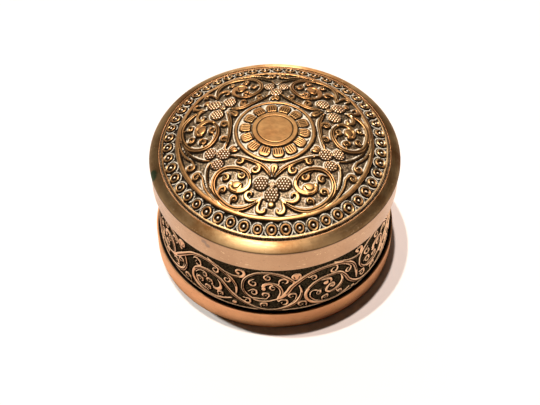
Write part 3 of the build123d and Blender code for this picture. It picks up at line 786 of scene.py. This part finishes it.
# Curls of the band: middle, radius, bearing at which the stem comes in, turn, points of the tail
band_curls = [
    ((-30.2, 28.7), 2.2, 140, -340, [(-32.2, 29.4)]),
    ((-21, 30.6), 1.7, 70, -320, [(-22.4, 33)]),
    ((-15.7, 26.9), 1.6, 50, -330, [(-15.6, 30)]),
    ((-26.6, 23.3), 1.45, 100, -330, [(-31.6, 20.8), (-30, 23), (-28.3, 24.3)]),
    ((-29.1, 17.8), 1.75, 200, -330, [(-30, 15.2)]),
    ((-25.2, 14.9), 1.6, 210, -330, [(-26.2, 12.9)]),
    ((-19, 14.6), 1.6, 220, -320, [(-20.4, 12.9)]),
    ((-24.1, 19.8), 1.75, -50, 330, [(-21.8, 17.2)]),
    ((20.1, 29.8), 1.6, 150, -330, [(18, 30.9)]),
    ((29.6, 31), 1.8, 50, -320, [(27.8, 34.1), (29.5, 33.4)]),
    ((37.1, 25.6), 1.6, 30, -310, [(32.4, 32), (34.9, 30.3), (37, 28.2)]),
    ((22.7, 18.4), 1.35, 100, -310, [(20.7, 20.7)]),
    ((26.1, 13.2), 1.6, 210, -320, [(25, 11.6)]),
    ((32.8, 12.9), 1.3, 150, -300, [(31.4, 15)]),
    ((28.6, 19.7), 1.75, 190, -340, [(26.8, 18)]),
]
high_volute_curls = [
    ((1.4, 33.1), 1.6, 120, 330, [(2.6, 35.6)]),
    ((-4.8, 28.4), 1.75, 130, 320, [(-4.4, 30.9)]),
    ((-4.5, 22.3), 1.65, 110, -330, [(-6.6, 22.2)]),
    ((8.1, 30), 2, 200, -330, [(6, 28)]),
    ((0.6, 20.5), 1.7, -50, 330, [(-5, 18), (-2, 18), (0.8, 18)]),
    ((3.6, 26), 1.45, 90, 330, [(3, 28)]),
    ((-7.3, 15.5), 1.65, 110, -330, [(-9, 17.2)]),
    ((0, 13.5), 1.7, 220, -320, [(-1.4, 11.8)]),
    ((7.8, 15.4), 2, 160, -330, [(5.2, 17.6)]),
    ((11.8, 19.5), 1.85, -20, 320, [(7.4, 11.9), (10.4, 13.6), (12.6, 16.2)]),
    ((15.9, 12.6), 2, -30, 320, [(18, 10.4)]),
]


def band_stem(relief, rows, split=(0.1, 0.9), step=0.0):
    """Main stem of the band, a little wider than drawn, with its chased middle line."""
    wider = [(x + step, y, half + 0.12) for x, y, half in rows]
    relief.stem(wider, split=split, split_width=0.2)


def band_curl(relief, curl, step=0.0):
    """Curl of the band, moved along it by a step."""
    (x, y), radius, start, turn, tail = curl
    tail = [(tail_x + step, tail_y) for tail_x, tail_y in tail]
    relief.curl((x + step, y), radius * curl_growth, start, turn, tail, curl_width, 0.3, curl_tall)


def draw_strip(relief):
    """Draws one third of the band."""
    band_stem(relief, low_volute, (0.3, 0.95))
    band_stem(relief, second_low_volute, (0.3, 0.95))
    relief.stem(low_volute_lining)
    relief.stem(second_low_volute_lining)
    band_stem(relief, high_stem)
    band_stem(relief, second_high_stem)
    band_stem(relief, top_curl, (0.2, 0.6))
    band_stem(relief, second_top_curl, (0.2, 0.6))
    relief.stem(low_leaf)
    relief.stem(second_low_leaf, split=(0.2, 0.7), split_width=0.14)
    relief.boss((28.9, 19.6), (0.9, 0.9))
    relief.stem(bud_leaf)
    relief.boss((26.0, 23.4), (1.25, 1.25))
    relief.boss((-12.6, 12.0), (1.2, 1.2))
    relief.boss((40.2, 11.0), (1.1, 0.9))
    for curl in band_curls:
        band_curl(relief, curl)
    for step in (0, volute_step):
        band_stem(relief, high_volute, (0.02, 0.8), step)
        band_stem(relief, high_leaf, (0.3, 0.9), step)
        relief.boss((-0.3 + step, 24.9), (1.0, 1.2))
        for curl in high_volute_curls:
            band_curl(relief, curl, step)
        bud = (13.2 + step, 33.0)
        relief.boss(bud, (2.2, 2.2), 1.1)
        for slit in (-0.95, 0.95):
            relief.slit((bud[0] + slit, bud[1] - 0.3), (slit * 0.25, 0.7), 0.25)


def band_piece():
    """Closed sheet round the drum with its relief outside."""
    around, rows, inner_rows = 1680, 156, 4
    turn = np.arange(around) * 2 * math.pi / around
    grid_turn = np.tile(turn, rows)
    grid_height = np.repeat(np.linspace(band_low, band_high, rows), around)
    distance = ((grid_turn - band_bearing) * band_ground) % band_strip
    distance = np.where(distance > strip_end, distance - band_strip, distance)
    uneven_distance = distance + wander(grid_turn * band_ground, grid_height, 0.14, 5.0, 0.4)
    uneven_height = grid_height + wander(grid_turn * band_ground, grid_height, 0.12, 5.7, 1.9)
    relief = Relief(len(grid_turn), band_depth, band_slope)
    for shift in (0, band_strip):
        relief.points = np.stack([uneven_distance + shift, uneven_height], 1)
        draw_strip(relief)
    border_inside = np.minimum(grid_height - band_low, band_high - grid_height)
    relief.raise_to(np.arange(len(grid_turn)), border_inside - border_height, border_rise, 0.25)
    outer = round_points(band_ground + relief.height, grid_turn, grid_height)
    inner_height = np.repeat(np.linspace(band_high, band_low, inner_rows), around)
    inner = round_points(band_in, np.tile(turn, inner_rows), inner_height)

    step_up = (band_high - band_low) / (rows - 1)
    step_along = 2 * math.pi * band_ground / around
    slopes = np.gradient(np.clip(relief.gap, *gap_span).reshape(rows, around), step_up, step_along)
    values = relief.point_values(lamp_side_cosine(*slopes).ravel(), len(inner))
    copper = chased_copper(
        "band_copper", rgb(0.78, 0.45, 0.25), rgb(0.60, 0.30, 0.14), wear_and_highlight=rgb(0.97, 0.68, 0.42),
        ground=rgb(0.070, 0.054, 0.030), residue=rgb(0.22, 0.16, 0.09),
        residue_share=0.0, ground_metal=0.0, glint=0.1, outline_and_shadow_reach=(0.42, 0.2, 1.0),
    )
    points, faces = np.vstack([outer, inner]), closed_faces(rows + inner_rows, around)
    layout = strip_layout(around)
    mesh_from("body_band_chased", points, faces, "box", "body_band", layout, values, copper)


# Materials

class Nodes:
    """Adds nodes to a node tree and links them."""

    def __init__(self, tree):
        self.tree = tree

    def node(self, kind, inputs=None, **settings):
        made = self.tree.nodes.new("ShaderNode" + kind)
        for key, value in settings.items():
            setattr(made, key, value)
        for key, value in (inputs or {}).items():
            self.put(made.inputs[key], value)
        return made

    def put(self, socket, value):
        if isinstance(value, bpy.types.NodeSocket):
            self.tree.links.new(value, socket)
        else:
            socket.default_value = value

    def math(self, kind, a, b=0.0, clamp=False):
        made = self.node("Math", operation=kind, use_clamp=clamp)
        self.put(made.inputs[0], a)
        self.put(made.inputs[1], b)
        return made.outputs[0]

    def times(self, *factors):
        product = factors[0]
        for factor in factors[1:]:
            product = self.math("MULTIPLY", product, factor)
        return product

    def span(self, value, low, high, to_low=0.0, to_high=1.0):
        return self.node(
            "MapRange",
            {"Value": value, "From Min": low, "From Max": high, "To Min": to_low, "To Max": to_high},
            interpolation_type="SMOOTHSTEP",
        ).outputs[0]

    def mix(self, share, a, b):
        made = self.node("Mix", data_type="RGBA")
        self.put(made.inputs[0], share)
        self.put(made.inputs[6], a)
        self.put(made.inputs[7], b)
        return made.outputs[2]


class Shader(Nodes):
    """A material with a Principled shader and textures placed in the piece's own space."""

    def __init__(self, name):
        self.material = bpy.data.materials.new(name)
        self.material.use_nodes = True
        super().__init__(self.material.node_tree)
        self.principled = self.tree.nodes["Principled BSDF"]

    def place(self):
        return self.node("TexCoord").outputs["Object"]

    def noise(self, scale, detail=4.0, rough=0.55, stretch=None):
        where = self.place()
        if stretch:
            where = self.node("Mapping", {"Vector": where, "Scale": stretch}).outputs[0]
        return self.node(
            "TexNoise", {"Vector": where, "Scale": scale, "Detail": detail, "Roughness": rough}
        ).outputs["Fac"]

    def value(self, name):
        return self.node("Attribute", attribute_name=name).outputs["Fac"]

    def bump(self, height, strength, distance, normal=None):
        inputs = {"Height": height, "Strength": strength, "Distance": distance}
        if normal:
            inputs["Normal"] = normal
        return self.node("Bump", inputs).outputs[0]

    def finish(self, **inputs):
        for key, value in inputs.items():
            self.put(self.principled.inputs[key.replace("_", " ")], value)
        return self.material


def rgb(r, g, b):
    return (r, g, b, 1.0)


def darker(colour, share):
    return tuple(share * channel for channel in colour[:3]) + (1.0,)


# Black patina for chased lines and outlines, also painted shadow in front of forms
black_patina_and_shade = rgb(0.004, 0.003, 0.002)
# Painted shade in the crease and on the ledge under the band
crease_and_ledge_shade = rgb(0.006, 0.004, 0.003)
dark_speck = rgb(0.07, 0.035, 0.018)
pale_fleck = rgb(0.85, 0.62, 0.36)
# Rubbed grain and ball tops, painted near white as glints
grain_rub_and_glint = rgb(0.98, 0.90, 0.74)


def worn_copper(name, bright, dull, roughness, flecks=0.0, marks=(), metallic=1.0, spun=False):
    """Smooth handled copper: blotches, scratches, dark specks, pale flecks and single marks.

    A mark is its middle in millimetres, its reach, its colour and its strength. A spun piece has fine
    lines round its axis, which draw the lamps out across them.
    """
    s = Shader(name)
    blotch = s.span(s.noise(55, 5, 0.6), 0.35, 0.7)
    fine = s.noise(900, 3, 0.6)
    scratch = s.noise(260, 4, 0.7, stretch=(1, 1, 12))
    colour = s.mix(blotch, bright, dull)
    colour = s.mix(s.times(s.span(fine, 0.6, 0.76), 0.4), colour, dark_speck)
    if flecks:
        patch = s.span(s.noise(90, 2, 0.5), 0.45, 0.65)
        speck = s.span(s.noise(620, 2, 0.5, stretch=(1, 1, 2)), 0.64, 0.7)
        colour = s.mix(s.times(patch, speck, flecks), colour, pale_fleck)
    for middle, reach, tint, strength in marks:
        offset = s.node("VectorMath", operation="DISTANCE")
        s.put(offset.inputs[0], s.place())
        s.put(offset.inputs[1], tuple(MM * value for value in middle))
        ragged = s.math("ADD", offset.outputs["Value"], s.times(s.noise(500, 4, 0.7), reach * MM))
        spot = s.span(ragged, reach * MM * 1.5, reach * MM * 1.1)
        colour = s.mix(s.times(spot, strength), colour, tint)
    # The shade value paints shade dark in the crease and on the ledge under the band
    colour = s.mix(s.value("shade"), colour, crease_and_ledge_shade)
    gloss = s.span(scratch, 0.3, 0.75, roughness - 0.06, roughness + 0.1)
    gloss = s.math("ADD", gloss, s.times(blotch, 0.05))
    normal = s.bump(scratch, 0.12, 0.00025)
    normal = s.bump(s.noise(120, 3, 0.5), 0.15, 0.0006, normal)
    if spun:
        tangent = s.node("Tangent", direction_type="RADIAL", axis="Z").outputs[0]
        s.finish(Anisotropic=0.9, Anisotropic_Rotation=0.25, Tangent=tangent)
    return s.finish(Base_Color=colour, Metallic=metallic, Roughness=gloss, Normal=normal)


def chased_copper(
    name, bright, dull, wear_and_highlight, ground, residue, residue_share, ground_metal, glint, outline_and_shadow_reach
):
    """Relief copper: rubbed tops, dark outlines and chased lines, stippled ground and pale residue, with
    painted glints, highlights and shade.

    outline_and_shadow_reach is how far the dark outline spreads behind a form, how much farther it
    spreads in front of it as painted shadow, and its strength behind.
    """
    s = Shader(name)
    roughness = 0.4
    gap, line, side = s.value("gap"), s.value("line"), s.value("side")
    ragged = s.times(s.math("SUBTRACT", s.noise(1100, 3, 0.6), 0.5), 0.4)
    edge = s.math("ADD", gap, ragged)
    blotch = s.span(s.noise(60, 5, 0.6), 0.35, 0.68)
    grain = s.node("TexVoronoi", {"Vector": s.place(), "Scale": 1300.0}).outputs["Distance"]
    metal = s.mix(blotch, bright, dull)
    outside = s.span(edge, -0.12, 0.1)
    floor = s.mix(s.span(grain, 0.15, 0.7), ground, darker(ground, 0.3))
    floor = s.mix(s.times(s.span(s.noise(700, 4, 0.7), 0.52, 0.7), glint), floor, dull)

    # Painted highlights, with some wear, on the edges at the back of each form; painted shade on its front
    # The front of each form, away from the lamps, gets painted shade; behind is the side toward the lamps,
    # which gets painted highlights
    shaded_side = s.span(side, 0.35, -0.35)
    behind = s.span(side, -0.1, 0.4)
    rub_and_highlight = s.times(s.span(edge, -0.5, -0.28), behind, 0.75)
    painted_front_shade = s.times(s.span(edge, -0.6, -0.2), shaded_side, 0.55)
    metal = s.mix(rub_and_highlight, metal, wear_and_highlight)
    metal = s.mix(painted_front_shade, metal, darker(dull, 0.4))
    metal = s.mix(s.value("wear_and_highlight"), metal, grain_rub_and_glint)
    colour = s.mix(outside, metal, floor)

    # Dark patina round each form and in the chased lines, widened under its front as painted shadow
    reach = s.math("ADD", outline_and_shadow_reach[0], s.times(shaded_side, outline_and_shadow_reach[1]))
    past = s.math("SUBTRACT", edge, reach)
    start = s.math("ADD", edge, s.times(shaded_side, 0.2))
    outline = s.times(s.span(start, -0.12, 0.0), s.span(past, 0.1, -0.06))
    outline = s.times(outline, s.span(shaded_side, 0.0, 1.0, outline_and_shadow_reach[2], 1.0))
    colour = s.mix(s.times(outline, 0.96), colour, black_patina_and_shade)
    chased = s.span(line, 0.2, 0.04)

    # Polish residue behind each form, kept to the lamps' side as a painted highlight
    strip = s.times(s.span(edge, 0.02, 0.16), s.span(edge, 0.62, 0.4), behind)
    patch = s.span(s.noise(170, 4, 0.65), 0.56 - residue_share, 0.66 - residue_share)
    laid = s.times(s.value("pale"), s.span(s.noise(420, 4, 0.7), 0.4, 0.5))
    residue_and_highlight = s.times(strip, patch)
    colour = s.mix(s.times(residue_and_highlight, 0.92), colour, residue)
    colour = s.mix(s.times(chased, 0.95), colour, black_patina_and_shade)
    colour = s.mix(s.times(laid, 0.92), colour, residue)
    pale = s.math("MAXIMUM", residue_and_highlight, laid)

    # Only bare copper is metallic
    dirt = s.math("MAXIMUM", outline, chased)
    dirt = s.math("MAXIMUM", dirt, s.times(outside, 1 - ground_metal))
    metallic = s.math("SUBTRACT", 1.0, s.math("MAXIMUM", pale, dirt), clamp=True)
    rough = s.math("ADD", s.span(outside, 0, 1, roughness, roughness + 0.12), s.times(pale, 0.2))
    rough = s.math("ADD", rough, s.times(s.math("SUBTRACT", s.noise(400, 3), 0.5), 0.2))
    normal = s.bump(s.times(grain, outside), 0.7, 0.0002)
    normal = s.bump(s.noise(500, 4, 0.6), 0.25, 0.0002, normal)
    return s.finish(
        Base_Color=colour, Metallic=metallic, Roughness=rough, Normal=normal, Specular_IOR_Level=0.0
    )


# Plain pieces

outline_step = 1.0
shoulder_step = 0.3
shoulder_power = 2 / 1.75
shoulder_skin = 0.9
shoulder_flat = 1.2
foot_sheet = 0.8
notch_count = 380
points_per_notch = 5
notch_depth = 0.28
wire_points = 10


def crease_shade(radius, height):
    """Painted shade in the crease between the shoulder and the rim band, as a share."""
    return np.clip(1.1 - 1.4 * np.abs(height - crease), 0, 0.75)


def shoulder_piece():
    """Smooth convex ring with a green stain on its left."""
    angles = np.linspace(math.pi / 2, 0, 30)
    outward = shoulder_in + (shoulder_out - shoulder_in) * np.cos(angles) ** shoulder_power
    upward = crease + (shoulder_high - crease) * np.sin(angles) ** shoulder_power
    top = shoulder_high - shoulder_skin
    under = [(shoulder_out - shoulder_skin, crease), (shoulder_in + shoulder_flat, top), (shoulder_in, top)]
    outline = subdivided(np.vstack([np.stack([outward, upward], 1), under]), shoulder_step)
    stain = ((-50.4, -13.4, 53.2), 3.4, rgb(0.03, 0.10, 0.045), 0.85)
    copper = worn_copper(
        "shoulder_copper", rgb(0.50, 0.33, 0.155), rgb(0.23, 0.10, 0.028), 0.48, flecks=0.6, spun=True,
        marks=[stain],
    )
    turned_piece(
        "lid_shoulder_ring", outline, "lid", copper, dent=0.05, shade=crease_shade
    )


def rim_piece():
    """Plain vertical rim of the lid with two grey scuffs in front."""
    corners = [(rim_in, rim_low), (rim_out, rim_low), (rim_out, rim_high), (rim_in, rim_high)]
    places = [(-28.3, -43.7, 48.6), (-26.9, -44.6, 47.2)]
    copper = worn_copper(
        "rim_copper", rgb(0.51, 0.31, 0.175), rgb(0.43, 0.25, 0.135), 0.3, flecks=0.8,
        marks=[(middle, 1.5, rgb(0.16, 0.13, 0.11), 0.55) for middle in places],
    )
    outline = subdivided(rounded(corners), outline_step)
    turned_piece("lid_rim_band", outline, "lid", copper, dent=0.05, shade=crease_shade)


def foot_piece():
    """Plain ring at the foot with its top turned in as a ledge under the band, painted black as shade."""
    wall_in = foot_out - foot_sheet
    ledge_under = foot_high - foot_sheet
    corners = [
        (wall_in, foot_low), (foot_out, foot_low), (foot_out, foot_high), (band_in, foot_high),
        (band_in, ledge_under), (wall_in, ledge_under),
    ]

    # Painted shade on the ledge under the band
    def ledge_shade(radius, height):
        return ((radius < foot_out - 0.75) & (height > ledge_under - 0.1)).astype(float)

    copper = worn_copper(
        "foot_copper", rgb(0.84, 0.45, 0.22), rgb(0.72, 0.36, 0.165), 0.6, flecks=0.3, metallic=0.9
    )
    outline = subdivided(rounded(corners), outline_step)
    turned_piece("base_ring", outline, "box", copper, dent=0.04, shade=ledge_shade)


def wire_piece():
    """Fine wire, milled with notches across it."""
    thick = (wire_out - wire_in) / 2
    middle = (wire_in + wire_out) / 2
    level = (wire_low + wire_high) / 2
    angles = np.linspace(0, 2 * math.pi, wire_points, endpoint=False)
    outline = np.stack([middle + thick * np.cos(angles), level + thick * np.sin(angles)], 1)

    def milled(radius, height, turn):
        pinch = 1 - notch_depth * np.abs(np.cos(turn * notch_count / 2)) ** 3
        return middle + (radius - middle) * pinch, level + (height - level) * pinch

    copper = worn_copper("wire_copper", rgb(0.50, 0.26, 0.12), rgb(0.25, 0.12, 0.05), 0.35)
    around = notch_count * points_per_notch
    turned_piece("lid_milled_wire", outline, "lid", copper, around, shape=milled)


def inside_pieces():
    """Plain dulled copper on the pieces that keep their CAD meshes."""
    copper = worn_copper("inside_copper", rgb(0.62, 0.34, 0.2), rgb(0.42, 0.21, 0.12), 0.42)
    for node in ("body_wall", "body_collar", "base_plate"):
        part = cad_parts[node]
        part.data.materials.clear()
        part.data.materials.append(copper)


# Floor, camera and light

floor_reach = 3.0
focal_pixels = 1219.02
picture_width = 540
pitch_down = 0.887552
camera_aim = (-2.0216, 0.0, 19.5946)
camera_distance = 534.68
lamp_degrees = 1.2
room_strength = 1.25
room_dark = 0.007


def paper_floor():
    mesh = bpy.data.meshes.new("floor")
    a, b = -floor_reach, floor_reach
    mesh.from_pydata([(a, a, 0), (b, a, 0), (b, b, 0), (a, b, 0)], [], [(0, 1, 2, 3)])
    placed("floor", mesh)
    paper = Shader("paper").finish(Base_Color=rgb(0.86, 0.84, 0.82), Roughness=0.9, Specular_IOR_Level=0.2)
    mesh.materials.append(paper)


def photo_camera():
    """Camera fitted to the circles in the photograph, looking down along +Y."""
    data = bpy.data.cameras.new("camera")
    data.sensor_width = 36.0
    data.lens = focal_pixels / picture_width * data.sensor_width
    data.clip_start = 0.01
    data.clip_end = 50
    camera = placed("camera", data)
    camera.location = (
        camera_aim[0] * MM,
        (camera_aim[1] - math.cos(pitch_down) * camera_distance) * MM,
        (camera_aim[2] + math.sin(pitch_down) * camera_distance) * MM,
    )
    camera.rotation_euler = (math.pi / 2 - pitch_down, 0, 0)
    bpy.context.scene.camera = camera


def lamp(name, towards, power, colour):
    """Small distant lamp in a direction from the box."""
    data = bpy.data.lights.new(name, "SUN")
    data.energy = power
    data.angle = math.radians(lamp_degrees)
    data.color = colour
    placed(name, data).rotation_euler = Vector(towards).to_track_quat("Z", "Y").to_euler()


def room_light():
    """Dim room with a warm glow low down behind the box."""
    world = bpy.data.worlds.new("room")
    bpy.context.scene.world = world
    world.use_nodes = True
    n = Nodes(world.node_tree)
    direction = n.node("TexCoord").outputs["Generated"]
    part = n.node("SeparateXYZ", {"Vector": direction}).outputs
    back = n.span(part["Y"], -0.1, 0.8)
    low = n.span(part["Z"], 0.8, 0.0, 0.17, 1.0)
    aside = n.math("ABSOLUTE", n.math("ADD", part["X"], 0.12))
    middle = n.span(aside, 0.65, 0.15, 0.03, 1.0)
    background = world.node_tree.nodes["Background"]
    n.put(background.inputs["Color"], rgb(1.0, 0.9, 0.78))
    glow = n.times(back, low, middle, room_strength)
    n.put(background.inputs["Strength"], n.math("ADD", glow, room_dark))


crown_piece()
band_piece()
shoulder_piece()
rim_piece()
foot_piece()
wire_piece()
inside_pieces()
paper_floor()
photo_camera()
lamp("lamp_overhead", (-0.03, 0.08, 1.0), 2.65, (1.0, 0.82, 0.74))
lamp("lamp_left", (-0.14, 0.10, 1.0), 1.9, (0.98, 0.97, 0.93))
room_light()
bpy.context.scene.view_settings.view_transform = "Standard"
